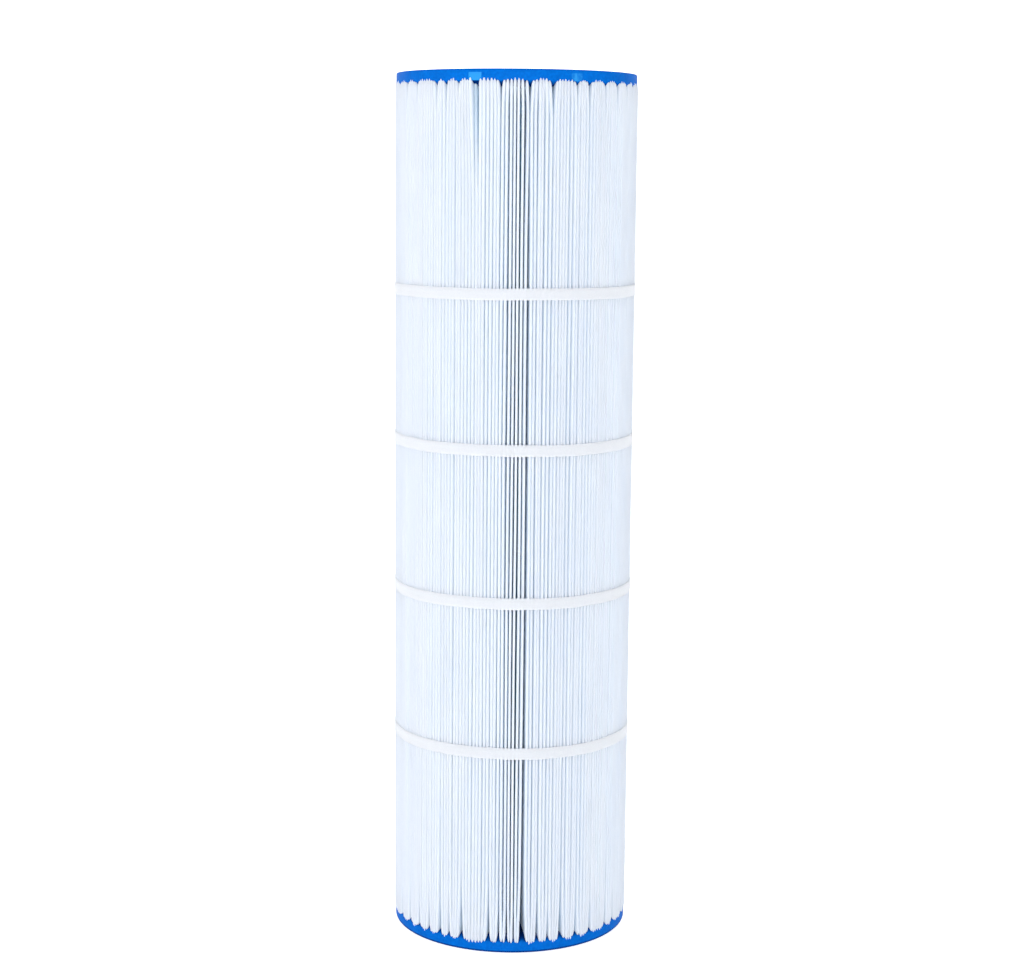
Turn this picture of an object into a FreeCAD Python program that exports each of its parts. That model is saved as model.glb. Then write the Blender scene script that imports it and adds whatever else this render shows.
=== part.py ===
# Pleated water filter cartridge, open at both ends.
# Two cast urethane end caps hold a sheet of pleated filter media around a lattice core.
# Millimetres, +Z up along the cartridge's axis, origin at the centre of the lower cap's outer face.
import FreeCAD
import Part
import Sketcher
import math
import os

from FreeCAD import Placement, Rotation, Vector

# alias, value, meaning
DIMENSIONS = [
    ("overall_height", 641.0, "outer face of one cap to outer face of the other"),
    ("bore_radius", 38.1, "water passage through each cap"),
    ("bore_break", 1.0, "chamfer at the mouth of the passage"),
    ("cap_radius", 88.4, "outside of a cap's rim"),
    ("cap_round", 1.2, "rounding of a cap's outer edge"),
    ("rim_height", 8.0, "plain height of a cap's rim"),
    ("resin_depth", 12.0, "outer face to the cast surface between the pleats"),
    ("resin_radius", 84.5, "where the cast surface levels out inside the rim"),
    ("embed_depth", 5.0, "outer face to the ends of media and core"),
    ("cast_gap", 0.1, "working gap between cast resin and round core walls"),
    ("inner_ring_radius", 52.0, "middle of the inner groove in a cap's outer face"),
    ("outer_ring_radius", 80.0, "middle of the outer groove in a cap's outer face"),
    ("ring_width", 3.0, "width of both face grooves"),
    ("ring_depth", 0.6, "depth of both face grooves"),
    ("standoff_circle", 66.0, "radius of the circle of standoff dimples"),
    ("standoff_radius", 2.2, "radius of a standoff dimple"),
    ("standoff_depth", 3.0, "depth of a standoff dimple"),
    ("flat_depth", 0.12, "how far a rim flat lies inside the rim's radius"),
    ("core_inside", 41.0, "inside radius of the core"),
    ("core_outside", 46.0, "outside radius of the core"),
    ("core_joint", 43.3, "outside radius of a core section's spigot"),
    ("joint_gap", 0.15, "gap around a spigot in its socket"),
    ("spigot_length", 6.0, "length of a core section's spigot"),
    ("section_pitch", 125.0, "length of a core section without its spigot"),
    ("window_width", 16.5, "width of a core window"),
    ("window_height", 9.0, "height of a core window"),
    ("window_pitch", 12.2, "from one row of core windows to the next"),
    ("window_start", 9.5, "bottom of a core section to its first windows"),
    ("media_outside", 87.6, "radius at the pleat tips"),
    ("media_inside", 47.5, "radius at the inner folds"),
    ("media_thickness", 0.45, "thickness of the filter sheet"),
    ("tip_half_width", 0.85, "half of a pleat's width at its tip"),
    ("tip_break", 0.35, "corner break of a pleat's tip"),
    ("fold_half_gap", 0.13, "half of the gap outside an inner fold"),
    ("seam_depth", 12.0, "radial depth of the glue line in the seam pleat"),
    ("band_outside", 88.9, "outside radius of a band"),
    ("band_inside", 88.0, "inside radius of a band"),
    ("band_width", 8.4, "height of a band along the axis"),
    ("band_lap_rise", 0.5, "extra thickness where a band's ends lap"),
    ("band_lap_angle", 14.0, "angle of the lap in degrees"),
    ("glue_width", 3.0, "height of the glue ring under a band"),
    ("first_band", 151.6, "outer face of the lower cap to the middle of the first band"),
    ("band_pitch", 111.1, "from one band to the next"),
]
PLEAT_COUNT = 205
CORE_SECTIONS = 5
WINDOWS_AROUND = 12
WINDOW_ROWS = 9
STANDOFFS = 6
BANDS = 4
SEAM_ANGLE = 90.0  # the seam pleat is at the back, on +Y
# Where the upper cap's rim has its two flats, in degrees from the front (-Y) towards +X.
RIM_FLAT_ANGLES = {"left": -19.3, "right": 28.4}
VALUE = {alias: value for alias, value, meaning in DIMENSIONS}

doc = FreeCAD.newDocument("filter_cartridge")


class Size:
    """A length with its value and the sheet expression that drives it."""

    def __init__(self, value, text):
        self.value = value
        self.text = text

    def __add__(self, other):
        return Size(self.value + other.value, f"({self.text} + {other.text})")

    def __sub__(self, other):
        return Size(self.value - other.value, f"({self.text} - {other.text})")

    def __mul__(self, factor):
        return Size(self.value * factor, f"({self.text} * {factor})")

    def __neg__(self):
        return self * -1


ZERO = Size(0.0, "0")


def cell(alias):
    return Size(VALUE[alias], f"Dimensions.{alias}")


def make_sheet():
    sheet = doc.addObject("Spreadsheet::Sheet", "Dimensions")
    for row, (alias, value, meaning) in enumerate(DIMENSIONS, start=1):
        sheet.set(f"A{row}", meaning)
        sheet.set(f"B{row}", str(value))
        sheet.setAlias(f"B{row}", alias)
    doc.recompute()


def origin_plane(body, role):
    return next(item for item in body.Origin.OriginFeatures if item.Role == role)


def add_sketch(body, name, role):
    sketch = body.newObject("Sketcher::SketchObject", name)
    sketch.AttachmentSupport = [(origin_plane(body, role), "")]
    sketch.MapMode = "FlatFace"
    return sketch


def pin_point(sketch, line, axis, size):
    """Drive one coordinate of a line's start point from the sheet."""
    if size is ZERO:
        origin_axis = -1 if axis == "Y" else -2
        sketch.addConstraint(Sketcher.Constraint("PointOnObject", line, 1, origin_axis))
        return
    if size.value > 0:
        ends = (-1, 1, line, 1)
    else:
        ends = (line, 1, -1, 1)
        size = -size
    index = sketch.addConstraint(Sketcher.Constraint("Distance" + axis, *ends, size.value))
    sketch.setExpression(f"Constraints[{index}]", size.text)


def add_outline(sketch, points):
    """A closed outline of straight lines through points given as pairs of sizes."""
    corners = [Vector(x.value, y.value, 0) for x, y in points]
    first = sketch.GeometryCount
    count = len(corners)
    for index, corner in enumerate(corners):
        sketch.addGeometry(Part.LineSegment(corner, corners[(index + 1) % count]), False)
    for index in range(count):
        following = first + (index + 1) % count
        sketch.addConstraint(Sketcher.Constraint("Coincident", first + index, 2, following, 1))
    for index, (x, y) in enumerate(points):
        pin_point(sketch, first + index, "X", x)
        pin_point(sketch, first + index, "Y", y)


def rectangle(low_x, high_x, low_y, high_y):
    return [(low_x, low_y), (high_x, low_y), (high_x, high_y), (low_x, high_y)]


def turned(body, kind, name, role, points):
    """A full Revolution or Groove about the body's Z axis."""
    sketch = add_sketch(body, name + "_outline", role)
    add_outline(sketch, points)
    feature = body.newObject("PartDesign::" + kind, name)
    feature.Profile = sketch
    feature.ReferenceAxis = (sketch, ["V_Axis"])
    feature.Angle = 360.0
    sketch.Visibility = False
    doc.recompute()
    return feature


def circle_edge(feature, radius, height):
    """The name of the feature's round edge with this radius at this height."""
    for number, edge in enumerate(feature.Shape.Edges, start=1):
        curve = edge.Curve
        if not isinstance(curve, Part.Circle):
            continue
        if abs(curve.Radius - radius) < 1e-4 and abs(curve.Center.z - height) < 1e-4:
            return f"Edge{number}"
    raise ValueError(f"no edge of radius {radius} at height {height}")


def dress(body, kind, name, base, edge, size_name, size):
    """A Fillet or Chamfer on one edge."""
    feature = body.newObject("PartDesign::" + kind, name)
    feature.Base = (base, [edge])
    feature.setExpression(size_name, size.text)
    doc.recompute()
    return feature


def must_cut(before, feature):
    """A pocket or groove that points away from the solid would leave its volume as it was."""
    doc.recompute()
    assert feature.Shape.Volume < before - 1e-3, feature.Name + " cuts nothing"


def add_standoffs(body):
    """The dimples that the mould's standoff pins leave in a cap's outer face."""
    before = body.Shape.Volume
    sketch = add_sketch(body, body.Name + "_standoff_circle", "XY_Plane")
    sketch.addGeometry(
        Part.Circle(Vector(VALUE["standoff_circle"], 0, 0), Vector(0, 0, 1), VALUE["standoff_radius"])
    )
    sketch.addConstraint(Sketcher.Constraint("PointOnObject", 0, 3, -1))
    reach = sketch.addConstraint(
        Sketcher.Constraint("DistanceX", -1, 1, 0, 3, VALUE["standoff_circle"])
    )
    sketch.setExpression(f"Constraints[{reach}]", cell("standoff_circle").text)
    radius = sketch.addConstraint(Sketcher.Constraint("Radius", 0, VALUE["standoff_radius"]))
    sketch.setExpression(f"Constraints[{radius}]", cell("standoff_radius").text)
    pocket = body.newObject("PartDesign::Pocket", body.Name + "_standoff")
    pocket.Profile = sketch
    pocket.Reversed = True
    pocket.setExpression("Length", cell("standoff_depth").text)
    sketch.Visibility = False
    must_cut(before, pocket)
    pattern = body.newObject("PartDesign::PolarPattern", body.Name + "_standoffs")
    pattern.Originals = [pocket]
    pattern.Axis = (sketch, ["N_Axis"])
    pattern.Angle = 360.0
    pattern.Occurrences = STANDOFFS
    body.Tip = pattern
    must_cut(pocket.Shape.Volume, pattern)


def add_rim_flat(body, side, front_angle):
    """A shallow flat across the rim. The cap's own frame is turned over, so the angle changes sign."""
    before = body.Shape.Volume
    sketch = add_sketch(body, f"{body.Name}_flat_{side}", "XY_Plane")
    sketch.AttachmentOffset = Placement(Vector(), Rotation(Vector(0, 0, 1), -90.0 - front_angle))
    inside = cell("cap_radius") - cell("flat_depth")
    beyond = cell("cap_radius") + cell("cap_round")
    half_width = cell("rim_height")
    add_outline(sketch, rectangle(inside, beyond, -half_width, half_width))
    pocket = body.newObject("PartDesign::Pocket", f"{body.Name}_flat_cut_{side}")
    pocket.Profile = sketch
    pocket.Reversed = True
    pocket.setExpression("Length", cell("rim_height").text)
    sketch.Visibility = False
    must_cut(before, pocket)


def cap_casting(name, core_slot):
    """One cap in its own frame: outer face on z = 0, inside of the cartridge towards +Z."""
    body = doc.addObject("PartDesign::Body", name)
    bore = cell("bore_radius")
    rim = cell("cap_radius")
    resin = cell("resin_depth")
    outline = [
        (bore, ZERO),
        (rim, ZERO),
        (rim, cell("rim_height")),
        (cell("resin_radius"), resin),
        (bore, resin),
    ]
    blank = turned(body, "Revolution", name + "_blank", "XZ_Plane", outline)
    rounded = dress(
        body, "Fillet", name + "_round", blank, circle_edge(blank, rim.value, 0.0), "Radius", cell("cap_round")
    )
    broken = dress(
        body, "Chamfer", name + "_mouth", rounded, circle_edge(rounded, bore.value, 0.0), "Size", cell("bore_break")
    )
    slot = turned(body, "Groove", name + "_core_slot", "XZ_Plane", core_slot)
    must_cut(broken.Shape.Volume, slot)
    half_ring = cell("ring_width") * 0.5
    last = slot
    for ring in ("inner", "outer"):
        middle = cell(ring + "_ring_radius")
        groove = turned(
            body,
            "Groove",
            f"{name}_{ring}_ring",
            "XZ_Plane",
            rectangle(middle - half_ring, middle + half_ring, ZERO, cell("ring_depth")),
        )
        must_cut(last.Shape.Volume, groove)
        last = groove
    add_standoffs(body)
    return body


def lower_core_slot():
    """Room for a core section's socket end. Resin fills the socket as a tongue."""
    gap = cell("cast_gap")
    tongue = cell("core_joint") + cell("joint_gap") - gap
    tongue_top = cell("embed_depth") + cell("spigot_length")
    open_end = cell("resin_depth") + gap
    wall = cell("core_outside") + gap
    lip = cell("core_inside") - gap
    return [
        (wall, open_end),
        (wall, cell("embed_depth")),
        (tongue, cell("embed_depth")),
        (tongue, tongue_top),
        (lip, tongue_top),
        (lip, open_end),
    ]


def upper_core_slot():
    """Room for a core section's spigot end, in the turned-over frame of the upper cap."""
    gap = cell("cast_gap")
    shoulder = cell("embed_depth") + cell("spigot_length")
    open_end = cell("resin_depth") + gap
    wall = cell("core_outside") + gap
    neck = cell("core_joint") + gap
    lip = cell("core_inside") - gap
    return [
        (wall, open_end),
        (wall, shoulder),
        (neck, shoulder),
        (neck, cell("embed_depth")),
        (lip, cell("embed_depth")),
        (lip, open_end),
    ]


def cap_around_media(label, casting, media):
    """The resin flows in between the pleats, so the media's shape is cut out of it."""
    cap = doc.addObject("Part::Cut", label)
    cap.Base = casting
    cap.Tool = media
    cap.Label = label
    return cap


def polar(angle, radial, tangential):
    """A point in the frame of the pleat or valley at this angle in radians."""
    x = radial * math.cos(angle) - tangential * math.sin(angle)
    y = radial * math.sin(angle) + tangential * math.cos(angle)
    return Vector(x, y, 0)


def sheet_values(sheet, names):
    return [getattr(sheet, name) for name in names]


def media_outline(sheet):
    """The folded sheet from above: out along its dirty side, back along its clean side."""
    names = ["media_outside", "media_inside", "media_thickness", "tip_half_width", "tip_break", "fold_half_gap"]
    outside, inside, thick, tip, tip_break, gap = sheet_values(sheet, names)
    seam = math.radians(SEAM_ANGLE)
    pitch = 2 * math.pi / PLEAT_COUNT
    under_tip = outside - thick
    dirty = [polar(seam, under_tip, tip)]
    clean = [polar(seam, under_tip, tip - thick)]
    for pleat in range(1, PLEAT_COUNT + 1):
        valley_angle = seam + (pleat - 0.5) * pitch
        pleat_angle = seam + pleat * pitch
        dirty.append(polar(valley_angle, inside + thick, -gap))
        dirty.append(polar(valley_angle, inside + thick, gap))
        clean.append(polar(valley_angle, inside, -(gap + thick)))
        clean.append(polar(valley_angle, inside, gap + thick))
        if pleat == PLEAT_COUNT:
            break
        dirty.append(polar(pleat_angle, outside - tip_break, -tip))
        dirty.append(polar(pleat_angle, outside, -(tip - tip_break)))
        dirty.append(polar(pleat_angle, outside, tip - tip_break))
        dirty.append(polar(pleat_angle, outside - tip_break, tip))
        clean.append(polar(pleat_angle, under_tip, -(tip - thick)))
        clean.append(polar(pleat_angle, under_tip, tip - thick))
    dirty.append(polar(seam, under_tip, -tip))
    clean.append(polar(seam, under_tip, -(tip - thick)))
    return dirty + clean[::-1]


def extruded(label, corners, bottom, top):
    """A straight-sided solid between two heights from its outline in plan."""
    closed = Part.makePolygon(corners + corners[:1])
    feature = doc.addObject("Part::Feature", label)
    feature.Label = label
    feature.Shape = Part.Face(closed).extrude(Vector(0, 0, top - bottom))
    feature.Placement = Placement(Vector(0, 0, bottom), Rotation())
    return feature


def add_media(sheet):
    bottom = sheet.embed_depth
    top = sheet.overall_height - sheet.embed_depth
    return extruded("pleated_media", media_outline(sheet), bottom, top)


def add_seam_bead(sheet):
    """The glue line that joins the sheet's two ends inside the seam pleat, between the caps."""
    names = ["media_outside", "media_inside", "media_thickness", "tip_half_width", "fold_half_gap", "seam_depth"]
    outside, inside, thick, tip, gap, depth = sheet_values(sheet, names)
    seam = math.radians(SEAM_ANGLE)
    half_pitch = math.pi / PLEAT_COUNT
    wall_top = Vector(outside - thick, tip - thick, 0)
    wall_foot = polar(half_pitch, inside, -(gap + thick))
    share = depth / (wall_top.x - wall_foot.x)
    wall_low = wall_top + (wall_foot - wall_top) * share
    corners = [
        polar(seam, wall_low.x, -wall_low.y),
        polar(seam, wall_top.x, -wall_top.y),
        polar(seam, wall_top.x, wall_top.y),
        polar(seam, wall_low.x, wall_low.y),
    ]
    bottom = sheet.resin_depth
    top = sheet.overall_height - sheet.resin_depth
    return extruded("media_seam_bead", corners, bottom, top)


def add_core_section(number):
    """A moulded lattice tube with a socket below and a spigot above."""
    label = f"core_section_{number}"
    body = doc.addObject("PartDesign::Body", label)
    inside = cell("core_inside")
    outside = cell("core_outside")
    socket = cell("core_joint") + cell("joint_gap")
    socket_top = cell("spigot_length") + cell("joint_gap")
    shoulder = cell("section_pitch")
    tube = [
        (socket, ZERO),
        (outside, ZERO),
        (outside, shoulder),
        (cell("core_joint"), shoulder),
        (cell("core_joint"), shoulder + cell("spigot_length")),
        (inside, shoulder + cell("spigot_length")),
        (inside, socket_top),
        (socket, socket_top),
    ]
    blank = turned(body, "Revolution", label + "_tube", "XZ_Plane", tube)
    sketch = add_sketch(body, label + "_window_outline", "XZ_Plane")
    half_width = cell("window_width") * 0.5
    for row in range(WINDOW_ROWS):
        low = cell("window_start") + cell("window_pitch") * row
        add_outline(sketch, rectangle(-half_width, half_width, low, low + cell("window_height")))
    pocket = body.newObject("PartDesign::Pocket", label + "_window_column")
    pocket.Profile = sketch
    pocket.Type = "ThroughAll"
    pocket.Midplane = True
    sketch.Visibility = False
    must_cut(blank.Shape.Volume, pocket)
    pattern = body.newObject("PartDesign::PolarPattern", label + "_windows")
    pattern.Originals = [pocket]
    pattern.Axis = (sketch, ["V_Axis"])
    pattern.Angle = 180.0 - 360.0 / WINDOWS_AROUND
    pattern.Occurrences = WINDOWS_AROUND // 2
    body.Tip = pattern
    must_cut(pocket.Shape.Volume, pattern)
    height = cell("embed_depth") + cell("section_pitch") * (number - 1)
    body.setExpression("Placement.Base.z", height.text)
    body.Label = label
    return body


def band_middle(number):
    return cell("first_band") + cell("band_pitch") * (number - 1)


def add_band(number):
    """A strap around the pleat tips, its ends lapped at the back."""
    label = f"band_{number}"
    body = doc.addObject("PartDesign::Body", label)
    inside = cell("band_inside")
    outside = cell("band_outside")
    half = cell("band_width") * 0.5
    turned(body, "Revolution", label + "_ring", "XZ_Plane", rectangle(inside, outside, -half, half))
    sketch = add_sketch(body, label + "_lap_outline", "YZ_Plane")
    middle = (inside + outside) * 0.5
    add_outline(sketch, rectangle(middle, outside + cell("band_lap_rise"), -half, half))
    lap = body.newObject("PartDesign::Revolution", label + "_lap")
    lap.Profile = sketch
    lap.ReferenceAxis = (sketch, ["V_Axis"])
    lap.Midplane = True
    lap.setExpression("Angle", cell("band_lap_angle").text)
    sketch.Visibility = False
    body.setExpression("Placement.Base.z", band_middle(number).text)
    body.Label = label
    return body


def add_band_glue(number):
    """The hot-melt ring that holds a band to the pleat tips."""
    label = f"band_adhesive_{number}"
    outer = doc.addObject("Part::Cylinder", label + "_outer")
    inner = doc.addObject("Part::Cylinder", label + "_inner")
    outer.setExpression("Radius", cell("band_inside").text)
    inner.setExpression("Radius", cell("media_outside").text)
    outer.setExpression("Height", cell("glue_width").text)
    inner.setExpression("Height", cell("glue_width").text)
    ring = doc.addObject("Part::Cut", label)
    ring.Base = outer
    ring.Tool = inner
    bottom = band_middle(number) - cell("glue_width") * 0.5
    ring.setExpression("Placement.Base.z", bottom.text)
    ring.Label = label
    return ring


def build():
    make_sheet()
    sheet = doc.getObject("Dimensions")
    media = add_media(sheet)
    lower = cap_casting("lower_casting", lower_core_slot())
    upper = cap_casting("upper_casting", upper_core_slot())
    for side, front_angle in RIM_FLAT_ANGLES.items():
        add_rim_flat(upper, side, front_angle)
    upper.Placement = Placement(Vector(), Rotation(Vector(0, 1, 0), 180))
    upper.setExpression("Placement.Base.z", cell("overall_height").text)
    nodes = [
        cap_around_media("end_cap_bottom", lower, media),
        cap_around_media("end_cap_top", upper, media),
        media,
        add_seam_bead(sheet),
    ]
    nodes += [add_core_section(number) for number in range(1, CORE_SECTIONS + 1)]
    nodes += [add_band(number) for number in range(1, BANDS + 1)]
    nodes += [add_band_glue(number) for number in range(1, BANDS + 1)]
    doc.recompute()
    return nodes


def check(nodes):
    """Stop before anything is written if any object or shape has failed."""
    for item in doc.Objects:
        assert not {"Invalid", "Error"} & set(item.State), f"{item.Name} failed: {item.State}"
    for node in nodes:
        assert not node.Shape.isNull() and node.Shape.isValid(), node.Label + " is not a valid shape"
        assert len(node.Shape.Solids) == 1, f"{node.Label} has {len(node.Shape.Solids)} solids"


def write(nodes):
    os.makedirs("parts", exist_ok=True)
    for node in nodes:
        node.Shape.exportStep(f"parts/{node.Label}.step")
        box = node.Shape.BoundBox
        size = f"{box.XLength:.2f} x {box.YLength:.2f} x {box.ZLength:.2f}"
        print(f"{node.Label}: {size} mm, z from {box.ZMin:.2f}, {node.Shape.Volume / 1000:.1f} cm3")


nodes = build()
check(nodes)
write(nodes)
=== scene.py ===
# Pleated filter cartridge: white folded media between two blue cast caps, held by four straps.
import math

import bpy
import numpy as np
from mathutils import Matrix, Vector


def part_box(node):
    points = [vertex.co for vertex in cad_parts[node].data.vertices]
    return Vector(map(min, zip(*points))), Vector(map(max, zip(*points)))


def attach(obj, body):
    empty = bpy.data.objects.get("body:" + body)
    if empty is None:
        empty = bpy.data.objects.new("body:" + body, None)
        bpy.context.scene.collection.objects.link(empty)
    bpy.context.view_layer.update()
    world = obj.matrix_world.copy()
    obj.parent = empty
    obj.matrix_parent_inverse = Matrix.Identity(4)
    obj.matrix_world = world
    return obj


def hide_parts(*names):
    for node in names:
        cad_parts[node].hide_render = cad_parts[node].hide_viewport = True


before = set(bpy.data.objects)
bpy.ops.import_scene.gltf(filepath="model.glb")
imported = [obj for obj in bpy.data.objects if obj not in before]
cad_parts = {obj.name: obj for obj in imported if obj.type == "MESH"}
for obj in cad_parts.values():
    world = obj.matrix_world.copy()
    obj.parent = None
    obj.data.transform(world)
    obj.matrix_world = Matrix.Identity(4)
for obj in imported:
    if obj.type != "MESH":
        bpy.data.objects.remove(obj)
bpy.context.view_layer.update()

MM = 0.001
SEED = 205

# The cartridge stands on its lower cap, its axis on Z. Angles are in degrees around it from +X.
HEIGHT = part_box("end_cap_top")[1][2]
BAND_NODES = sorted(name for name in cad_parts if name.startswith("band_") and "adhesive" not in name)
FRONT = -90.0
SEAM_ANGLE = 90.0

# Cap casting, measured from its outer face.
CAP_RADIUS = 88.4 * MM
CAP_SEGMENTS = 820
CAP_ROUND = 1.2 * MM
ROUND_STEPS = 5
CAP_SHARP_ANGLE = 40
BORE_RADIUS = 38.1 * MM
BORE_BREAK = 1.0 * MM
BORE_MIDDLE = 6.0 * MM
BORE_LIP = 0.8 * MM
RIM_HEIGHT = 8.0 * MM
RIM_ROWS = (2.0 * MM, 2.8 * MM, 4.5 * MM)
RESIN_DEPTH = 12.0 * MM
RING_RADII = (52.0 * MM, 80.0 * MM)
RING_WIDTH = 3.0 * MM
RING_DEPTH = 0.6 * MM
RING_EDGE = 0.15 * MM
STANDOFFS = 6
STANDOFF_CIRCLE = 66.0 * MM
STANDOFF_RADIUS = 2.2 * MM
STANDOFF_DEPTH = 3.0 * MM
STANDOFF_WALL = 0.5 * MM
STANDOFF_MARGIN = 0.6 * MM  # the face has close rows as far as this beside the dimples
STANDOFF_STEP = 0.4 * MM

# Two faint flats on the upper rim: degrees from the front.
FLAT_ANGLES = (-19.3, 28.4)
FLAT_DEPTH = 0.12 * MM
FLAT_END = 0.5 * MM  # how far they go on past the rim's edge
# Painted highlights on them, lighter patches where the flats would reflect a lamp: degrees from the front,
# half width in degrees, strength.
HIGHLIGHT_PATCHES = [(-19.3, 3.2, 1.0), (28.4, 3.2, 0.6), (27.8, 0.9, 0.9)]
HIGHLIGHT_FADE = 1.2
HIGHLIGHT_START = 2.4 * MM  # from the outer face
HIGHLIGHT_END = 0.2 * MM  # past the rim's edge

# The resin climbs into each gap between the pleats in a lobe.
LOBE_RISE = 0.70
LOBE_SPREAD = 0.42
WIDEST_LOBE = 5.0
# Its surface from the rim's edge inwards: distance inwards, share of the lobe's rise, share of the way down
# to the level between the pleats, and how dark the painted shade in the recess is there.
RESIN_SECTION = [
    (0.0, 0.0, -0.10, 0.0),
    (0.10 * MM, 0.05, -0.02, 0.0),
    (0.35 * MM, 0.30, 0.0, 0.35),
    (0.80 * MM, 0.65, 0.05, 0.8),
    (1.6 * MM, 1.0, 0.12, 1.0),
    (3.4 * MM, 1.0, 0.45, 1.0),
    (5.6 * MM, 0.0, 1.0, 1.0),
]
RESIN_RADII = (76.5 * MM, 60.0 * MM, 46.0 * MM, 38.9 * MM)
UNDER_EDGE_SHADE = 0.9  # how dark the painted shade on the lower cap's rounded bottom edge is, on the same scale
# Unevenness of the rim's edge: waves around, size in mm.
RIM_WAVES = ((3, 0.10), (7, 0.08), (19, 0.07), (43, 0.05))

# Folded media.
PLEATS = 205
TIP_RADIUS = 89.0 * MM
TIP_HALF_WIDTH = 1.05 * MM
TIP_CLEARANCE = 0.05 * MM
FOLD_RADIUS = 47.5 * MM
FOLD_HALF_WIDTH = 0.58 * MM
FOLD_ROUND = 0.6 * MM
FOLD_SPREAD = 0.05  # degrees
SPACING_SPREAD = 0.12
SPACING_LIMITS = (0.72, 1.5)
OWN_RADIUS_SPREAD = 0.13  # mm
OWN_WOBBLE = 0.06  # mm
OWN_WOBBLE_TURN = 11.0  # radians over the height
FRONT_NARROWING = 0.19  # share by which the pleats at the front are narrower
FRONT_ZONE = 6.0  # degrees
SIDE_TREND = 0.08  # share by which they are wider on the left and narrower on the right
BUNCH_WIDENING = 0.25  # share by which they are wider at the rims
BUNCH_LENGTH = 16 * MM
DEEP = 12.0 * MM  # depth below the tips from which the media has its full painted blue shade
# Heights of the mesh's rows near a cap, in mm from its outer face, and how many more lie between.
ROWS_AT_CAP = (5.0, 6.4, 6.8, 7.3, 8.0, 9.0, 10.5, 13.0, 17.0, 23.0, 33.0)
OPEN_ROWS = 19

# A pleat's outer end from its shoulder to its tip: depth below the tip, share of its half width.
TIP_SECTION = [(3.6 * MM, 1.0), (0.85 * MM, 1.0), (0.25 * MM, 0.68), (0.0, 0.0)]
# Each flap of the seam pleat, which is cut open.
FLAP_SECTION = [(3.6 * MM, 1.0), (0.85 * MM, 1.0), (0.2 * MM, 0.9), (0.1 * MM, 0.35)]
SHOULDER = TIP_SECTION[0][0]

# The tips' ends, which reach over the rims' edges.
OVERHANG = 1.5  # mm
OVERHANG_SPREAD = 0.38
OVERHANG_LOSS = 2.1  # how much of it is lost right beside a gap of this width
LOSS_GAP_WIDTH = 4.0
LOSS_REACH = 2.6
MOST_LOSS = 1.2  # the most that a wider gap takes, as a share of that loss
TUCK = 1.5 * MM  # length over which they bend in there
POINT_LENGTH = 4.0 * MM  # length over which each tip narrows to its end
POINT_WIDTH = 0.35  # share of its width that is left there

# Slow sideways drift of all tips: whole waves around, radians along the height, size in mm.
DRIFTS = 7
DRIFT_AROUND = (5, 40)
DRIFT_ALONG = (3, 9)
DRIFT_SIZE = (0.04, 0.11)
ANY_PHASE = (0, 6.28)

# Gaps between groups of pleats at the caps: degrees from the front towards +X, width in mm.
TOP_GAPS = [
    (-72, 4.2), (-62, 4.0), (-53, 4.0), (-40.4, 4.4), (-34, 3.6), (-27.8, 3.2), (-6.4, 3.2),
    (5.2, 3.8), (17.2, 4.8), (28.5, 3.6), (35, 3.8), (45.4, 4.0), (54.9, 4.4), (64, 4.4), (72, 4.2),
]
BOTTOM_GAPS = [
    (-68, 5.2), (-57.6, 5.0), (-49.6, 4.6), (-43.1, 4.2), (-36.5, 4.4), (-30.6, 3.8), (-23.4, 5.2),
    (-9.7, 4.8), (-5.6, 4.0), (-2.1, 3.4), (1.7, 3.2), (5.4, 5.0), (13.5, 3.8), (19.2, 3.4),
    (24.4, 5.0), (34.5, 4.0), (41.8, 4.4), (54.3, 4.2), (61, 5.2), (73, 4.8),
]
# Others like them from one side round the back to the other: degrees from the front, widths in mm.
BACK_START, BACK_END = 82.0, 278.0
BACK_GAP_WIDTHS = (2.2, 4.4)
BACK_GAP_STEPS = (6.0, 11.0)
REGULAR_GAP = 1.0  # mm
PUSH_REACH = 5.0  # degrees over which a gap pushes the tips beside it
GAP_TAPER = 1.25
# How far a gap runs along the pleats: a least length in mm, and so much more per mm of width.
TOP_GAP_LENGTH = (3.0, 4.5)
BOTTOM_GAP_LENGTH = (5.0, 6.5)
# The widest gap: its right side is straight, the pleat on its left sinks back and the next ones lean away.
WIDE_GAP = (-17.6, 4.4)
WIDE_GAP_HEIGHT = 75 * MM
WIDE_GAP_SINK = 5.0  # mm
WIDE_PUSH_REACH = 12.0
# One gap stays open from below the upper rim downwards, and widens a little. Its width is what it has beyond
# the regular one.
LONG_GAP = (5.2, 1.3)
LONG_GAP_TOP = 50 * MM
LONG_GAP_CLOSING = 60 * MM
LONG_GAP_WIDENING = 0.5
LONG_PUSH_REACH = 4.0

# Straps.
BAND_THICKNESS = 0.5 * MM
BAND_EDGE = 0.12 * MM
BAND_LAP = 15.0  # degrees
BAND_LAP_START = 6.0  # degrees over which the outer end climbs on to the inner one
BAND_LAP_CLEARANCE = 0.08 * MM
BAND_PRESS = 0.05 * MM  # how far a strap presses into the tips
BAND_DIP = 0.16 * MM  # how far it dips between two tips
BAND_DIP_REACH = 1.4 * MM
BAND_SHARP_ANGLE = 50
STEPS_PER_PLEAT = 4
SMOOTHING = 13  # steps over which a strap evens out the tips' radii
# Unevenness of its way round: waves around, size in mm.
BAND_WAVES = ((2, 0.20), (5, 0.12), (11, 0.06), (23, 0.04))


# Mesh helpers


def wrapped(degrees):
    return (degrees + 180.0) % 360.0 - 180.0


def make_mesh(name, points, faces):
    mesh = bpy.data.meshes.new(name)
    mesh.from_pydata(points, [], faces)
    mesh.validate()
    mesh.update()
    mesh.polygons.foreach_set("use_smooth", [True] * len(mesh.polygons))
    piece = bpy.data.objects.new(name, mesh)
    bpy.context.scene.collection.objects.link(piece)
    return piece


def grid_faces(rows, columns, closed):
    """Quads between the rows of a grid whose points are stored row by row."""
    last = columns if closed else columns - 1
    faces = []
    for row in range(rows - 1):
        low = row * columns
        high = low + columns
        for column in range(last):
            after = (column + 1) % columns
            faces.append((low + column, low + after, high + after, high + column))
    return faces


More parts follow.
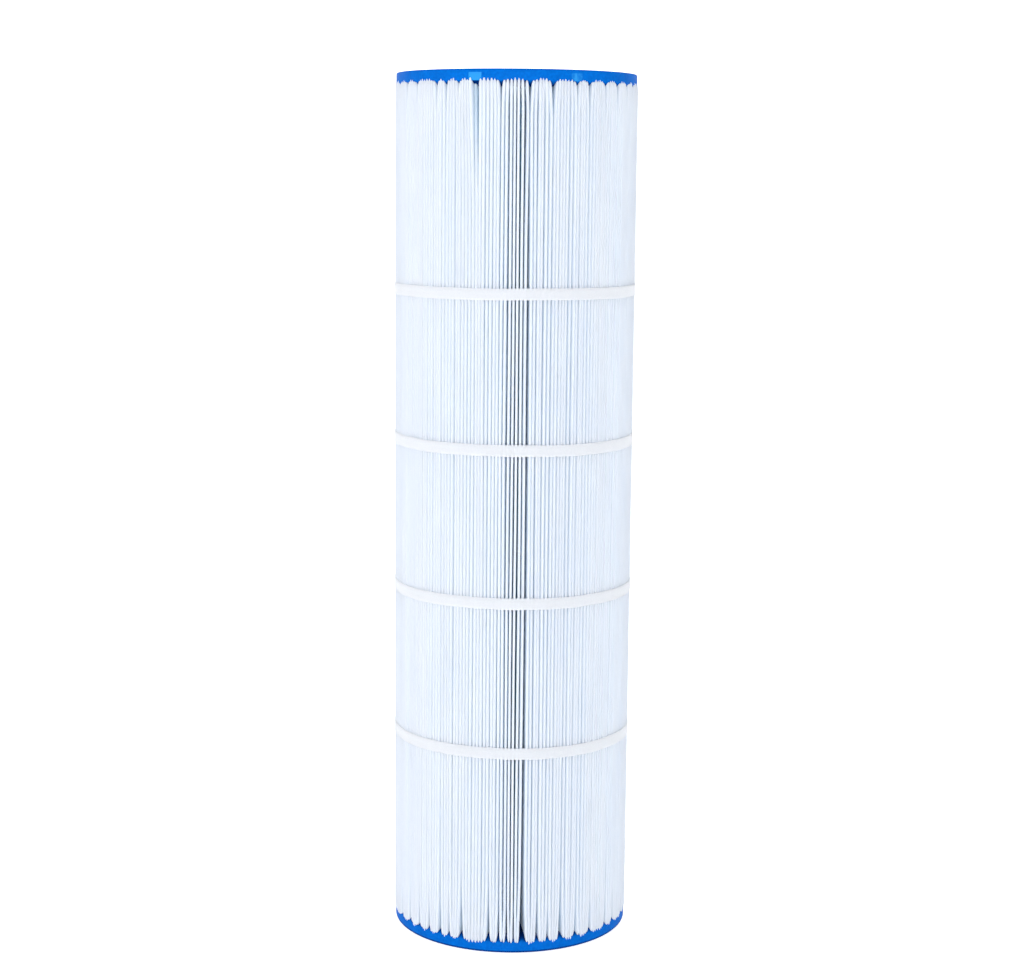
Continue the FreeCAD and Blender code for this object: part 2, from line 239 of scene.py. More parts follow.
def ring_points(radial, angles, z):
    """Points at these angles around the axis, as rows of x, y, z."""
    heights = z + np.zeros(len(angles))
    return np.stack([radial * np.cos(angles), radial * np.sin(angles), heights], axis=1)


def add_attribute(piece, name, values):
    attribute = piece.data.attributes.new(name, "FLOAT", "POINT")
    attribute.data.foreach_set("value", values)


def declare(piece, node):
    """This piece stands for the CAD node, whose part it hides, and is fixed to the cartridge."""
    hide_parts(node)
    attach(piece, "root")


# Folded media


def pleat_angles(rng):
    """Tip angles in degrees at mid height, one per pleat after the seam, unevenly spaced."""
    steps = np.clip(1 + SPACING_SPREAD * rng.standard_normal(PLEATS), *SPACING_LIMITS)
    return SEAM_ANGLE + np.cumsum(steps) * 360.0 / steps.sum()


def fold_angles():
    """Inner fold angles in radians, nearly evenly spaced. The core keeps them in place."""
    rng = np.random.default_rng(SEED + 1)
    even = SEAM_ANGLE + (np.arange(PLEATS) + 0.5) * 360.0 / PLEATS
    return np.radians(even + rng.normal(0, FOLD_SPREAD, PLEATS))


def all_around(front_gaps, rng):
    """The gaps in front, and others like them round the back."""
    gaps = [(FRONT + angle, width) for angle, width in front_gaps]
    angle = BACK_START
    while angle < BACK_END:
        gaps.append((FRONT + angle, float(rng.uniform(*BACK_GAP_WIDTHS))))
        angle += float(rng.uniform(*BACK_GAP_STEPS))
    return gaps


def snapped(gaps, tips):
    """Move each gap to the middle between two tips."""
    following = np.append(tips[1:], tips[0] + 360.0)
    middles = np.radians((tips + following) / 2)
    result = []
    for angle, width in gaps:
        away = np.abs(np.angle(np.exp(1j * (middles - math.radians(angle)))))
        result.append((math.degrees(middles[int(np.argmin(away))]), width))
    return result


def push(tips, gap, reach, share=1.0):
    """How far, in mm, a gap pushes each tip aside."""
    angle, extra = gap
    away = wrapped(tips - angle)
    return np.sign(away) * extra * share / 2 * np.clip(1 - np.abs(away) / reach, 0, None)


def push_left(tips, gap, reach):
    """The same for a gap that pushes only the tips on its left."""
    angle, extra = gap
    away = wrapped(tips - angle)
    return np.where(away < 0, -extra * np.clip(1 + away / reach, 0, None), 0.0)


def widened(gap):
    """A gap with the width that it has beyond the regular one."""
    angle, width = gap
    return angle, width - REGULAR_GAP


class Pleats:
    """Where every pleat's tip is at any height."""

    def __init__(self):
        rng = np.random.default_rng(SEED)
        self.base = pleat_angles(rng)
        self.top_gaps = snapped(all_around(TOP_GAPS, rng), self.base)
        self.bottom_gaps = snapped(all_around(BOTTOM_GAPS, rng), self.base)
        self.long_gap = snapped([(FRONT + LONG_GAP[0], LONG_GAP[1])], self.base)[0]
        self.wide_gap = snapped([(FRONT + WIDE_GAP[0], WIDE_GAP[1])], self.base)[0]
        self.drifts = [
            (int(rng.integers(*DRIFT_AROUND)), float(rng.uniform(*DRIFT_ALONG)),
             float(rng.uniform(*DRIFT_SIZE)), float(rng.uniform(*ANY_PHASE)))
            for _ in range(DRIFTS)
        ]
        self.own_phase = rng.uniform(*ANY_PHASE, PLEATS)
        self.own_radius = rng.normal(0, OWN_RADIUS_SPREAD, PLEATS)
        self.half_widths = self.open_half_widths()
        self.sink = self.sunk_beside_wide_gap()
        self.bottom_reach = self.reach(self.bottom_gaps, rng)
        self.top_reach = self.reach(self.top_gaps, rng)

    def open_half_widths(self):
        """Half widths of the tips away from the rims."""
        from_front = wrapped(self.base - FRONT)
        narrowing = FRONT_NARROWING * np.exp(-((from_front / FRONT_ZONE) ** 2))
        trend = SIDE_TREND * np.sin(np.radians(from_front))
        return TIP_HALF_WIDTH * (1 - narrowing - trend)

    def sunk_beside_wide_gap(self):
        """How far, in mm, each tip sinks at the upper rim: only the one just left of the widest gap does."""
        left_of_gap = -wrapped(self.base - self.wide_gap[0])
        nearest = int(np.argmin(np.where(left_of_gap > 0, left_of_gap, 360)))
        sink = np.zeros(PLEATS)
        sink[nearest] = WIDE_GAP_SINK
        return sink

    def reach(self, gaps, rng):
        """How far each tip reaches over a rim: least beside the gaps, so that each group ends rounded."""
        result = OVERHANG + rng.normal(0, OVERHANG_SPREAD, PLEATS)
        for angle, width in gaps:
            away = np.abs(wrapped(self.base - angle)) * math.radians(1) * TIP_RADIUS / MM
            loss = OVERHANG_LOSS * min(width / LOSS_GAP_WIDTH, MOST_LOSS)
            result = result - loss * np.exp(-((away / LOSS_REACH) ** 2))
        return result * MM

    def wide_share(self, height):
        """How far the widest gap is open at this height: 1 at the upper rim, 0 below its end."""
        return float(np.clip(1 - (HEIGHT - RIM_HEIGHT - height) / WIDE_GAP_HEIGHT, 0, 1))

    def long_share(self, height):
        """How far the long gap is open at this height: closed at the upper rim, widest at the lower one."""
        opening = float(np.clip((HEIGHT - LONG_GAP_TOP - height) / LONG_GAP_CLOSING, 0, 1))
        return opening * (1 + LONG_GAP_WIDENING * (1 - height / HEIGHT))

    def pushed_at_rims(self, height):
        """How far, in mm, the gaps at both caps push each tip aside."""
        aside = np.zeros(PLEATS)
        for gaps, distance, (least, per_width) in (
            (self.bottom_gaps, height - RIM_HEIGHT, BOTTOM_GAP_LENGTH),
            (self.top_gaps, HEIGHT - RIM_HEIGHT - height, TOP_GAP_LENGTH),
        ):
            for gap in gaps:
                length = (least + per_width * gap[1]) * MM
                share = np.clip(1 - distance / length, 0, 1) ** GAP_TAPER
                aside = aside + push(self.base, widened(gap), PUSH_REACH, share)
        return aside

    def drift(self, height):
        """How far, in mm, the tips drift aside together, and each on its own."""
        aside = OWN_WOBBLE * np.sin(self.own_phase + OWN_WOBBLE_TURN * height / HEIGHT)
        for around, along, size, phase in self.drifts:
            aside = aside + size * np.sin(around * np.radians(self.base) + along * height / HEIGHT + phase)
        return aside

    def tips(self, height):
        """Tip angles in radians at this height."""
        aside = push(self.base, self.long_gap, LONG_PUSH_REACH, self.long_share(height))
        aside = aside + self.pushed_at_rims(height)
        lean = push_left(self.base, widened(self.wide_gap), WIDE_PUSH_REACH)
        aside = aside + self.wide_share(height) * lean + self.drift(height)
        return np.radians(self.base) + aside * MM / TIP_RADIUS

    def from_end(self, height):
        """How far this height is from the nearer end of each tip."""
        if height < HEIGHT / 2:
            return height - RIM_HEIGHT + self.bottom_reach
        return HEIGHT - height - RIM_HEIGHT + self.top_reach

    def widths(self, height):
        """Half widths of the tips: bunched wide at the rims, then narrowing to their ends."""
        to_rim = min(height, HEIGHT - height) - RIM_HEIGHT
        bunched = float(np.clip(1 - to_rim / BUNCH_LENGTH, 0, 1))
        pointing = np.sqrt(np.clip(self.from_end(height) / POINT_LENGTH, 0, 1))
        end_width = POINT_WIDTH + (1 - POINT_WIDTH) * pointing
        return self.half_widths * (1 + BUNCH_WIDENING * bunched) * end_width

    def radii(self, height):
        """Tip radii: full in the open, tucked in over the rims' edges."""
        to_end = self.from_end(height)
        full = TIP_RADIUS + (self.own_radius - self.wide_share(height) * self.sink) * MM
        rise = 1 - np.exp(-np.maximum(to_end, 0) / TUCK)
        return CAP_RADIUS + (full - CAP_RADIUS) * rise + np.minimum(to_end, 0)


def row_heights():
    """Close rows at the caps, wide rows between."""
    low = [z * MM for z in ROWS_AT_CAP]
    high = [HEIGHT - z for z in reversed(low)]
    middle = np.linspace(low[-1], high[0], OPEN_ROWS + 2)[1:-1]
    return low + [float(z) for z in middle] + high


def media_row(pleats, height, folds):
    """One level of the folded sheet, from one raw edge at the seam round to the other."""
    tips = pleats.tips(height)
    radii = pleats.radii(height)
    widths = pleats.widths(height)
    following = np.append(tips[1:], tips[0] + 2 * math.pi)
    half_space = (following - tips) * TIP_RADIUS / 2
    after = np.minimum(widths, half_space - TIP_CLEARANCE)
    before = np.minimum(widths, np.roll(half_space, 1) - TIP_CLEARANCE)
    points = []

    def add(angle, radial, aside):
        """A point this far out at this angle, and this far to the left of that line."""
        x = radial * math.cos(angle) - aside * math.sin(angle)
        y = radial * math.sin(angle) + aside * math.cos(angle)
        points.append((x, y, height))

    def add_fold(fold):
        add(fold, FOLD_RADIUS + FOLD_ROUND, -FOLD_HALF_WIDTH)
        add(fold, FOLD_RADIUS, 0)
        add(fold, FOLD_RADIUS + FOLD_ROUND, FOLD_HALF_WIDTH)

    def add_wall(fold, side, pleat, aside):
        """The middle of the straight wall between one side of a fold and a pleat's shoulder."""
        inner_angle = fold + side * FOLD_HALF_WIDTH / FOLD_RADIUS
        inner_radial = FOLD_RADIUS + FOLD_ROUND
        outer_angle = tips[pleat] + aside / TIP_RADIUS
        outer_radial = radii[pleat] - SHOULDER
        x = (inner_radial * math.cos(inner_angle) + outer_radial * math.cos(outer_angle)) / 2
        y = (inner_radial * math.sin(inner_angle) + outer_radial * math.sin(outer_angle)) / 2
        points.append((float(x), float(y), height))

    def add_rise(pleat, section):
        for depth, share in section:
            add(tips[pleat], radii[pleat] - depth, -share * before[pleat])

    def add_descent(pleat, section):
        for depth, share in reversed(section):
            add(tips[pleat], radii[pleat] - depth, share * after[pleat])

    seam = PLEATS - 1
    add_descent(seam, FLAP_SECTION)
    for pleat in range(PLEATS):
        previous = (pleat - 1) % PLEATS
        add_wall(folds[pleat], -1, previous, after[previous])
        add_fold(folds[pleat])
        add_wall(folds[pleat], 1, pleat, -before[pleat])
        if pleat != seam:
            add_rise(pleat, TIP_SECTION)
            add_descent(pleat, TIP_SECTION[:-1])
    add_rise(seam, FLAP_SECTION)
    return points


def build_media(pleats):
    folds = fold_angles()
    rows = [media_row(pleats, height, folds) for height in row_heights()]
    points = np.concatenate(rows)
    faces = grid_faces(len(rows), len(rows[0]), closed=False)
    piece = make_mesh("filter_media", points.tolist(), faces)
    declare(piece, "pleated_media")
    radial = np.hypot(points[:, 0], points[:, 1])
    # How deep each point lies in the folds, for the painted blue shade there.
    add_attribute(piece, "depth", np.clip((TIP_RADIUS - radial) / DEEP, 0, 1))
    return piece


# Caps


def cap_profile():
    """The casting's section from the passage, across the outer face and over the rim: radius and depth."""
    section = [(BORE_RADIUS, depth) for depth in (RESIN_DEPTH - BORE_LIP, BORE_MIDDLE, BORE_BREAK)]
    section.append((BORE_RADIUS + BORE_BREAK, 0))
    inner_ring, outer_ring = RING_RADII
    section += ring_profile(inner_ring)
    reach = STANDOFF_RADIUS + STANDOFF_MARGIN
    for radius in np.arange(STANDOFF_CIRCLE - reach, STANDOFF_CIRCLE + reach, STANDOFF_STEP):
        section.append((float(radius), 0))
    section += ring_profile(outer_ring)
    for step in range(ROUND_STEPS + 1):
        angle = math.radians(90 * step / ROUND_STEPS)
        radius = CAP_RADIUS - CAP_ROUND + CAP_ROUND * math.sin(angle)
        section.append((radius, CAP_ROUND - CAP_ROUND * math.cos(angle)))
    section += [(CAP_RADIUS, depth) for depth in RIM_ROWS]
    return section


def ring_profile(radius):
    """A shallow ring in the outer face."""
    low, high = radius - RING_WIDTH / 2, radius + RING_WIDTH / 2
    return [
        (low - RING_EDGE, 0), (low + RING_EDGE, RING_DEPTH),
        (high - RING_EDGE, RING_DEPTH), (high + RING_EDGE, 0),
    ]


def standoff_depths(points):
    """How deep the round dimples are at these points of the outer face."""
    depths = np.zeros(len(points))
    for index in range(STANDOFFS):
        place = 2 * math.pi * index / STANDOFFS
        x, y = STANDOFF_CIRCLE * math.cos(place), STANDOFF_CIRCLE * math.sin(place)
        away = np.hypot(points[:, 0] - x, points[:, 1] - y)
        share = np.clip((STANDOFF_RADIUS - away) / STANDOFF_WALL, 0, 1)
        depths = np.maximum(depths, STANDOFF_DEPTH * share)
    return depths


def lobe_heights(degrees, gaps):
    """How far the resin climbs into the gaps, in mm."""
    lobes = np.zeros(len(degrees))
    for angle, width in gaps:
        away = np.abs(wrapped(degrees - angle)) * math.radians(1) * CAP_RADIUS / MM
        rise = LOBE_RISE * min(width, WIDEST_LOBE)
        lobes = np.maximum(lobes, rise * np.exp(-((away / (LOBE_SPREAD * width)) ** 2)))
    return lobes


def highlight_shares(degrees):
    """How much each place around the upper rim belongs to a painted highlight."""
    shares = np.zeros(len(degrees))
    for centre, half_angle, strength in HIGHLIGHT_PATCHES:
        away = np.abs(wrapped(degrees - FRONT - centre))
        share = np.clip((half_angle + HIGHLIGHT_FADE / 2 - away) / HIGHLIGHT_FADE, 0, 1)
        shares = np.maximum(shares, strength * share)
    return shares


def flat_scale(degrees):
    """What the upper rim's radius is multiplied by, so that it has its flats."""
    scale = np.ones(len(degrees))
    for flat in FLAT_ANGLES:
        away = np.abs(wrapped(degrees - FRONT - flat))
        flat_radius = (CAP_RADIUS - FLAT_DEPTH) / np.cos(np.radians(np.minimum(away, 20)))
        scale = np.minimum(scale, flat_radius / CAP_RADIUS)
    return scale


def rim_edge(angles, rng):
    """Depth of the rim's slightly uneven edge."""
    phases = rng.uniform(0, 6, len(RIM_WAVES))
    uneven = sum(size * np.sin(count * angles + phase) for (count, size), phase in zip(RIM_WAVES, phases))
    return RIM_HEIGHT + uneven * MM


def cap_rows(angles, gaps, upper, rng):
    """The casting's surface as rings of points, each with its painted highlight shares and its painted
    shade.
    """
    degrees = np.degrees(angles)
    plain = np.zeros(CAP_SEGMENTS)
    # Painted highlight shares on the flats of the upper rim.
    painted_highlight = highlight_shares(degrees) if upper else plain
    scale = flat_scale(degrees) if upper else np.ones(CAP_SEGMENTS)
    rows = []
    for radial, depth in cap_profile():
        on_rim = radial > CAP_RADIUS - 0.5 * CAP_ROUND
        row = ring_points(radial * (scale if on_rim else 1.0), angles, depth)
        if depth == 0:
            row[:, 2] = standoff_depths(row)
        # The lower cap's rounded bottom edge gets painted shade where it meets the floor.
        under_edge = on_rim and depth <= CAP_ROUND and not upper
        shade = UNDER_EDGE_SHADE if under_edge else 0.0
        rows.append((row, painted_highlight if on_rim and depth > HIGHLIGHT_START else plain, shade))
    edge = rim_edge(angles, rng)
    lobes = lobe_heights(degrees, gaps) * MM
    for inward, lobe_share, resin_share, shade in RESIN_SECTION:
        radial = (CAP_RADIUS - inward) * (scale if inward < FLAT_END else 1.0)
        crest = edge + lobes * lobe_share
        row = ring_points(radial, angles, crest + (RESIN_DEPTH - crest) * resin_share)
        rows.append((row, painted_highlight if inward < HIGHLIGHT_END else plain, shade))
    for radial in RESIN_RADII:
        # Deeper in, the resin between the pleats is fully in painted shade.
        rows.append((ring_points(radial, angles, RESIN_DEPTH), plain, 1.0))
    return rows


def build_cap(name, node, gaps, upper):
    """A casting whose resin climbs into these gaps. They are in degrees and mm."""
    angles = np.linspace(0, 2 * math.pi, CAP_SEGMENTS, endpoint=False)
    rng = np.random.default_rng(SEED + (2 if upper else 3))
    rows, highlights, shades = zip(*cap_rows(angles, gaps, upper, rng))
    points = np.concatenate(rows)
    faces = grid_faces(len(rows), CAP_SEGMENTS, closed=True)
    last = (len(rows) - 1) * CAP_SEGMENTS
    for column in range(CAP_SEGMENTS):
        after = (column + 1) % CAP_SEGMENTS
        faces.append((last + column, last + after, after, column))
    if upper:
        points[:, 2] = HEIGHT - points[:, 2]
        faces = [face[::-1] for face in faces]
    piece = make_mesh(name, points.tolist(), faces)
    # How much painted highlight each point has.
    add_attribute(piece, "painted_highlight", np.concatenate(highlights))
    # How much painted shade each point has, in the recess and on the lower cap's bottom edge.
    add_attribute(piece, "recess_shade", np.repeat(shades, CAP_SEGMENTS))
    piece.data.set_sharp_from_angle(angle=math.radians(CAP_SHARP_ANGLE))
    declare(piece, node)
    return piece


# Straps


def band_inside(angles, turns, tips, radii):
    """Radius of a strap's inner face: over the tips, dipping between them, and over its end at the lap."""
    nearest = np.angle(np.exp(1j * (angles[:, None] - tips[None, :])))
    index = np.argmin(np.abs(nearest), axis=1)
    away = np.abs(nearest[np.arange(len(angles)), index]) * TIP_RADIUS
    padded = np.pad(radii[index], SMOOTHING // 2, mode="edge")
    even_radii = np.convolve(padded, np.ones(SMOOTHING) / SMOOTHING, mode="valid")
    dip = BAND_DIP * np.clip(away / BAND_DIP_REACH, 0, 1) ** 2
    climb = math.radians(BAND_LAP_START)
    over = np.clip((turns - 2 * math.pi + climb) / climb, 0, 1)
    return even_radii - dip - BAND_PRESS + over * (BAND_THICKNESS + BAND_LAP_CLEARANCE)


def band_way(angles, rng):
    """How far a strap strays up or down around the cartridge. It is in its place at the front."""
    front = math.radians(FRONT)
    phases = rng.uniform(0, 6, len(BAND_WAVES))
    strays = sum(
        size * (np.sin(times * angles + phase) - math.sin(times * front + phase))
        for (times, size), phase in zip(BAND_WAVES, phases)
    )
    return strays * MM


def band_section(half):
    """A strap's section, with its corners broken: outwards and upwards."""
    outer = BAND_THICKNESS
    return [
        (0, -half), (outer - BAND_EDGE, -half), (outer, -half + BAND_EDGE), (outer, -half / 3),
        (outer, half / 3), (outer, half - BAND_EDGE), (outer - BAND_EDGE, half), (0, half),
    ]


def build_band(number, node, pleats):
    """A strap drawn over the tips, with its ends lapped at the back."""
    low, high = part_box(node)
    middle = (low[2] + high[2]) / 2
    section = band_section((high[2] - low[2]) / 2)
    columns = PLEATS * STEPS_PER_PLEAT + 1
    turns = np.linspace(0, 2 * math.pi + math.radians(BAND_LAP), columns)
    angles = math.radians(SEAM_ANGLE - BAND_LAP / 2) + turns
    inside = band_inside(angles, turns, pleats.tips(middle), pleats.radii(middle))
    way = middle + band_way(angles, np.random.default_rng(SEED + 10 + number))
    rows = [ring_points(inside + outward, angles, way + upward) for outward, upward in section]
    faces = []
    for row in range(len(section)):
        here = row * columns
        there = (row + 1) % len(section) * columns
        for column in range(columns - 1):
            faces.append((here + column, here + column + 1, there + column + 1, there + column))
    first_end = [row * columns for row in range(len(section))]
    faces.append(tuple(reversed(first_end)))
    faces.append(tuple(corner + columns - 1 for corner in first_end))
    piece = make_mesh(f"strap_{number}", np.concatenate(rows).tolist(), faces)
    piece.data.set_sharp_from_angle(angle=math.radians(BAND_SHARP_ANGLE))
    declare(piece, node)
    return piece


# Materials

THROUGH_TINT = (0.90, 0.955, 1.0)
# Painted shade deep in the folds: the media is multiplied by this colour there.
DEEP_SHADE_TINT = (0.55, 0.87, 1.0)


class Material:
    """A Principled material, and the nodes that colour it."""

    def __init__(self, name, roughness):
        self.material = bpy.data.materials.new(name)
        self.material.use_nodes = True
        self.nodes = self.material.node_tree.nodes
        self.links = self.material.node_tree.links
        self.shader = self.nodes["Principled BSDF"]
        self.set("Roughness", roughness)

    def set(self, socket, value):
        """A value that is the same all over the surface."""
        self.shader.inputs[socket].default_value = value

    def feed(self, socket, source):
        self.links.new(source, self.shader.inputs[socket])

    def attribute(self, name):
        node = self.nodes.new("ShaderNodeAttribute")
        node.attribute_name = name
        return node.outputs["Fac"]

    def noise(self, scale, detail, stretch=(1, 1, 1)):
        """Noise in the object's own space. The scale is in features per metre."""
        place = self.nodes.new("ShaderNodeTexCoord")
        mapping = self.nodes.new("ShaderNodeMapping")
        mapping.inputs["Scale"].default_value = stretch
        texture = self.nodes.new("ShaderNodeTexNoise")
        texture.inputs["Scale"].default_value = scale
        texture.inputs["Detail"].default_value = detail
        self.links.new(place.outputs["Object"], mapping.inputs["Vector"])
        self.links.new(mapping.outputs["Vector"], texture.inputs["Vector"])
        return texture.outputs["Fac"]

    def ramp(self, source, low, high, span=(0.3, 0.7)):
        """Colours from low to high as the source goes over this span."""
        node = self.nodes.new("ShaderNodeValToRGB")
        for element, position, color in zip(node.color_ramp.elements, span, (low, high)):
            element.position = position
            element.color = (*color, 1)
        self.links.new(source, node.inputs["Fac"])
        return node.outputs["Color"]

    def connect(self, value, socket):
        """Feed a socket from a node's output, or set it to a colour or a number."""
        if isinstance(value, bpy.types.NodeSocket):
            self.links.new(value, socket)
        elif isinstance(value, tuple):
            socket.default_value = (*value, 1)
        else:
            socket.default_value = value

    def mixed(self, share, first, second, mode="MIX"):
        """Two colours blended. A Mix node's colour sockets are its seventh and eighth."""
        node = self.nodes.new("ShaderNodeMix")
        node.data_type = "RGBA"
        node.blend_type = mode
        self.connect(share, node.inputs[0])
        self.connect(first, node.inputs[6])
        self.connect(second, node.inputs[7])
        return node.outputs[2]

    def computed(self, operation, first, second):
        node = self.nodes.new("ShaderNodeMath")
        node.operation = operation
        self.connect(first, node.inputs[0])
        self.connect(second, node.inputs[1])
        return node.outputs["Value"]

    def bump(self, height, strength, distance):
        node = self.nodes.new("ShaderNodeBump")
        node.inputs["Strength"].default_value = strength
        node.inputs["Distance"].default_value = distance
        self.links.new(height, node.inputs["Height"])
        self.feed("Normal", node.outputs["Normal"])

    def let_light_through(self, color, share):
        """Pass this share of the light on to the far side, as thin fleece does."""
        through = self.nodes.new("ShaderNodeBsdfTranslucent")
        self.links.new(self.mixed(1.0, color, THROUGH_TINT, "MULTIPLY"), through.inputs["Color"])
        both = self.nodes.new("ShaderNodeMixShader")
        both.inputs["Fac"].default_value = share
        self.links.new(self.shader.outputs["BSDF"], both.inputs[1])
        self.links.new(through.outputs["BSDF"], both.inputs[2])
        self.links.new(both.outputs["Shader"], self.nodes["Material Output"].inputs["Surface"])


def grey(level):
    return (level, level, level)


def media_material():
    """White spunbonded polyester: fine fibres, faint clouds, soft sheen, painted blue shade deep in the
    folds.
    """
    made = Material("filter_media", 0.85)
    fibre = made.noise(1900, 4)
    cloud = made.noise(70, 3, (1, 1, 0.25))
    fibre_color = made.ramp(fibre, (0.91, 0.94, 0.98), (0.95, 0.97, 1.0))
    cloud_color = made.ramp(cloud, (0.965, 0.975, 0.99), grey(1))
    color = made.mixed(1.0, fibre_color, cloud_color, "MULTIPLY")
    # Painted shade: the media darkens and turns bluer with its depth in the folds.
    deep_shade_color = made.ramp(made.attribute("depth"), grey(1), DEEP_SHADE_TINT, span=(0.1, 1.0))
    color = made.mixed(1.0, color, deep_shade_color, "MULTIPLY")
    made.feed("Base Color", color)
    made.set("Sheen Weight", 0.9)
    made.set("Sheen Roughness", 0.4)
    made.set("Specular IOR Level", 0.2)
    made.bump(fibre, 0.25, 0.0002)
    made.let_light_through(color, 0.48)
    return made.material


def cap_material():
    """Blue cast urethane: faint mottling, painted highlights on the flats, painted shade in the recess at
    the pleats and on the lower cap's bottom edge.
    """
    made = Material("cap_urethane", 0.42)
    mottle = made.noise(520, 3)
    broad = made.noise(60, 2)
    base = made.ramp(mottle, (0.001, 0.099, 0.445), (0.001, 0.134, 0.548))
    color = made.mixed(1.0, base, made.ramp(broad, (0.86, 0.86, 0.88), grey(1)), "MULTIPLY")
    # Painted highlights: a lighter blue on the flats stands in for a lamp's reflection.
    strong_highlight = made.computed("MULTIPLY", made.attribute("painted_highlight"), 1.5)
    broken_highlight = made.computed("SUBTRACT", strong_highlight, made.noise(420, 3))
    share = made.ramp(broken_highlight, grey(0), grey(1), span=(0.1, 0.75))
    color = made.mixed(share, color, (0.022, 0.235, 0.60))
    # Painted shade: the recess between the pleats and the lower cap's bottom edge darken to navy.
    color = made.mixed(made.attribute("recess_shade"), color, (0.0, 0.022, 0.13))
    made.feed("Base Color", color)
    made.feed("Roughness", made.ramp(mottle, grey(0.36), grey(0.50)))
    made.set("Specular IOR Level", 0.008)
    made.bump(mottle, 0.25, 0.0002)
    return made.material


def strap_material():
    """White polyester strap: fine cross threads and a soft nap."""
    made = Material("band_strap", 0.8)
    nap = made.noise(1500, 3)
    thread = made.noise(900, 2, (0.25, 0.25, 3.0))
    color = made.ramp(nap, (0.83, 0.845, 0.865), (0.90, 0.90, 0.91))
    made.feed("Base Color", color)
    made.set("Diffuse Roughness", 1.0)
    made.set("Sheen Weight", 1.0)
    made.set("Sheen Roughness", 0.4)
    made.bump(thread, 0.3, 0.0002)
    made.let_light_through(color, 0.46)
    return made.material


def core_material():
    """Off-white moulded plastic with a fine moulded texture."""
    made = Material("core_plastic", 0.45)
    grain = made.noise(900, 3)
    broad = made.noise(40, 2)
    made.feed("Base Color", made.ramp(broad, (0.74, 0.75, 0.76), (0.80, 0.81, 0.82)))
    made.feed("Roughness", made.ramp(grain, grey(0.4), grey(0.55)))
    made.bump(grain, 0.15, 0.0001)
    return made.material


def glue_material():
    """Milky hot-melt adhesive with a rippled, slightly glossy skin."""
    made = Material("hot_melt", 0.3)
    ripple = made.noise(350, 2)
    made.feed("Base Color", made.ramp(ripple, (0.78, 0.76, 0.68), (0.86, 0.85, 0.79)))
    made.bump(ripple, 0.4, 0.0004)
    return made.material


def floor_material():
    """Pale paper, lit from below as well as from above."""
    made = Material("pale_floor", 0.9)
    made.feed("Base Color", made.ramp(made.noise(30, 2), grey(0.93), grey(0.95)))
    made.set("Emission Color", (1, 1, 1, 1))
    made.set("Emission Strength", 0.52)
    return made.material


def set_material(piece, material):
    if not piece.data.materials:
        piece.data.materials.append(material)
    for slot in piece.material_slots:
        slot.material = material


# Stage, light and camera

SWEEP_HALF_WIDTH = 10.0
SWEEP_FRONT = -10.0
SWEEP_BEND = 1.6
SWEEP_RADIUS = 1.2
SWEEP_TOP = 4.5
SWEEP_STEPS = 12

KEY_COLOR = (1.0, 0.985, 0.985)
WHITE = (1.0, 1.0, 1.0)
WORLD_COLOR = (0.97, 0.98, 1.0, 1.0)
WORLD_STRENGTH = 0.47

CAMERA_DISTANCE = 1.533
CAMERA_HEIGHT = 0.5703
CAMERA_ASIDE = -0.00103
CAMERA_PITCH = 8.499
CAMERA_ROLL = 0.494
CAMERA_LENS = 72.09
SENSOR_WIDTH = 36.0


def build_stage():
    """A pale floor that sweeps up behind the cartridge."""
    line = [(SWEEP_FRONT, 0.0), (SWEEP_BEND, 0.0)]
    for step in range(1, SWEEP_STEPS + 1):
        turn = math.radians(90 * step / SWEEP_STEPS)
        rise = SWEEP_RADIUS - SWEEP_RADIUS * math.cos(turn)
        line.append((SWEEP_BEND + SWEEP_RADIUS * math.sin(turn), rise))
    line.append((SWEEP_BEND + SWEEP_RADIUS, SWEEP_TOP))
    points = [(x, y, z) for y, z in line for x in (-SWEEP_HALF_WIDTH, SWEEP_HALF_WIDTH)]
    piece = make_mesh("pale_sweep", points, grid_faces(len(line), 2, closed=False))
    set_material(piece, floor_material())


def add_area_light(name, place, target, size, power, color):
    light = bpy.data.lights.new(name, "AREA")
    light.shape = "RECTANGLE"
    light.size, light.size_y = size
    light.energy = power
    light.color = color
    lamp = bpy.data.objects.new(name, light)
    lamp.location = place
    lamp.rotation_euler = (Vector(target) - Vector(place)).to_track_quat("-Z", "Y").to_euler()
    bpy.context.scene.collection.objects.link(lamp)


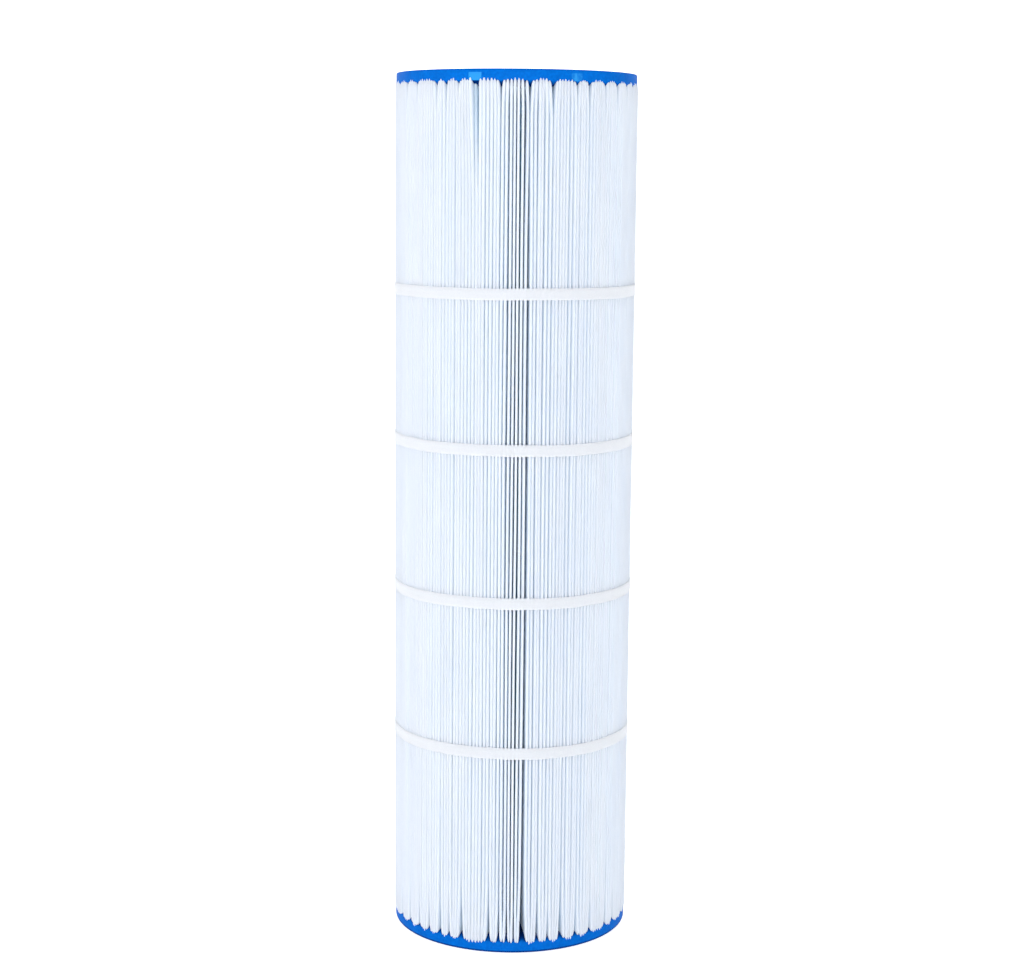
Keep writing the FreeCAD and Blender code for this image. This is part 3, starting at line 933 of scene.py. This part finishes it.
def build_lights():
    """Soft light from the front and above, weaker from the right, with a glow on the sweep behind."""
    middle = (0, 0, HEIGHT / 2)
    add_area_light("front_softbox", (0, -2.1, 0.36), middle, (1.2, 0.7), 17.2, KEY_COLOR)
    add_area_light("high_softbox", (0, -1.5, 1.7), (0, 0, 0.25), (1.2, 0.8), 7, KEY_COLOR)
    for side, way, power in (("left", -1, 9.2), ("right", 1, 2.8)):
        add_area_light(f"{side}_softbox", (1.9 * way, -0.7, 0.5), middle, (1.2, 0.9), power, KEY_COLOR)
        add_area_light(f"{side}_back_softbox", (1.7 * way, 1.5, 0.8), middle, (1.0, 1.6), 3, KEY_COLOR)
    add_area_light("top_softbox", (0, -0.6, 2.2), middle, (1.6, 1.6), 7, KEY_COLOR)
    add_area_light("sweep_light", (0, 0.8, 2.6), (0, 2.8, 0.6), (3.0, 1.0), 30, WHITE)
    world = bpy.data.worlds.new("studio")
    world.use_nodes = True
    background = world.node_tree.nodes["Background"]
    background.inputs["Color"].default_value = WORLD_COLOR
    background.inputs["Strength"].default_value = WORLD_STRENGTH
    bpy.context.scene.world = world


def build_camera():
    """A camera in front, looking down a little and slightly turned about its own line of sight."""
    data = bpy.data.cameras.new("camera")
    data.lens = CAMERA_LENS
    data.sensor_width = SENSOR_WIDTH
    camera = bpy.data.objects.new("camera", data)
    tilt = Matrix.Rotation(math.radians(90 - CAMERA_PITCH), 4, "X")
    roll = Matrix.Rotation(math.radians(CAMERA_ROLL), 4, "Z")
    place = Matrix.Translation((CAMERA_ASIDE, -CAMERA_DISTANCE, CAMERA_HEIGHT))
    camera.matrix_world = place @ tilt @ roll
    bpy.context.scene.collection.objects.link(camera)
    bpy.context.scene.camera = camera
    bpy.context.scene.view_settings.view_transform = "Standard"
    bpy.context.scene.view_settings.look = "None"


build_camera()
build_lights()
build_stage()

pleats = Pleats()
media = build_media(pleats)
lower_cap = build_cap("cap_lower", "end_cap_bottom", pleats.bottom_gaps, upper=False)
upper_cap = build_cap("cap_upper", "end_cap_top", pleats.top_gaps, upper=True)
straps = [build_band(number, node, pleats) for number, node in enumerate(BAND_NODES, start=1)]

set_material(media, media_material())
urethane = cap_material()
for piece in (lower_cap, upper_cap):
    set_material(piece, urethane)
webbing = strap_material()
for piece in straps:
    set_material(piece, webbing)
core = core_material()
glue = glue_material()
for name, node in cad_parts.items():
    if name.startswith("core_section"):
        set_material(node, core)
    elif "adhesive" in name or name == "media_seam_bead":
        set_material(node, glue)
